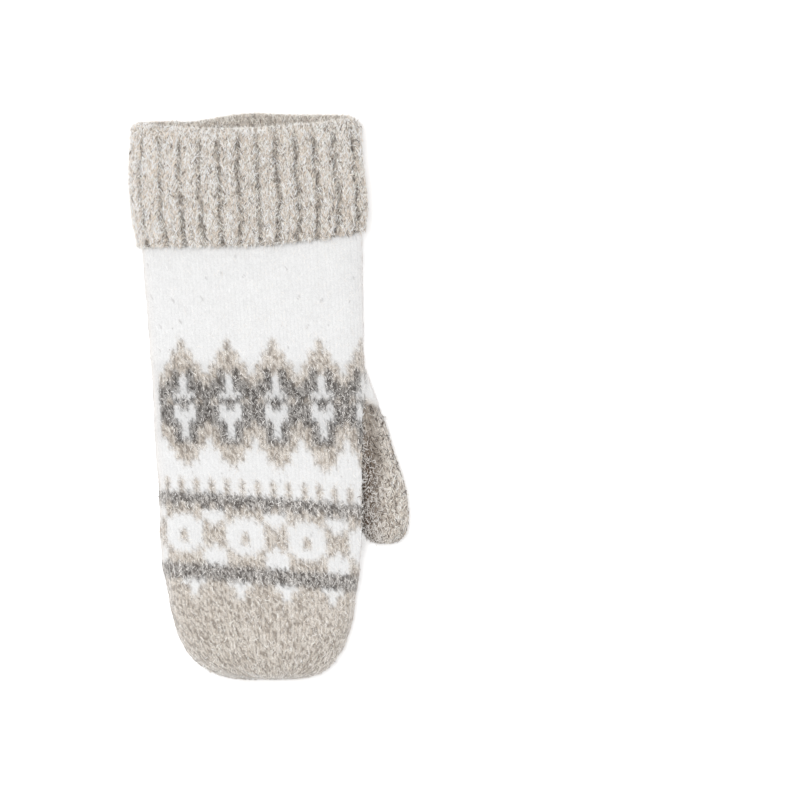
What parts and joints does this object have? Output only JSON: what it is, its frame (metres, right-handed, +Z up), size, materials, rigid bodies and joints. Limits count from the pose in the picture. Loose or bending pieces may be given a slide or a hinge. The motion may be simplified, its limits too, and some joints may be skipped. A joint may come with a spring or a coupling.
{
  "type": "knitted mitten",
  "caption": "Knitted mitten with a ribbed cuff turned up at the wrist, lying flat on its palm with the thumb out to one side.",
  "frame": {"origin": "middle of the bounding box, on the surface that the mitten lies on", "axes": "+Y along the hand from the fingertips to the mouth of the cuff, +X towards the thumb, +Z up from the palm to the back of the hand"},
  "size_m": [0.1232, 0.2491, 0.0216],
  "materials": {
    "patterned_knit": "brushed two-colour wool knit, white with bands of heather beige and charcoal",
    "plain_knit": "brushed plain wool knit, heather beige",
    "rib_knit": "brushed ribbed wool knit, heather beige"
  },
  "bodies": {
    "root": {"hand": "patterned_knit", "thumb": "plain_knit", "cuff": "rib_knit"}
  },
  "joints": []
}
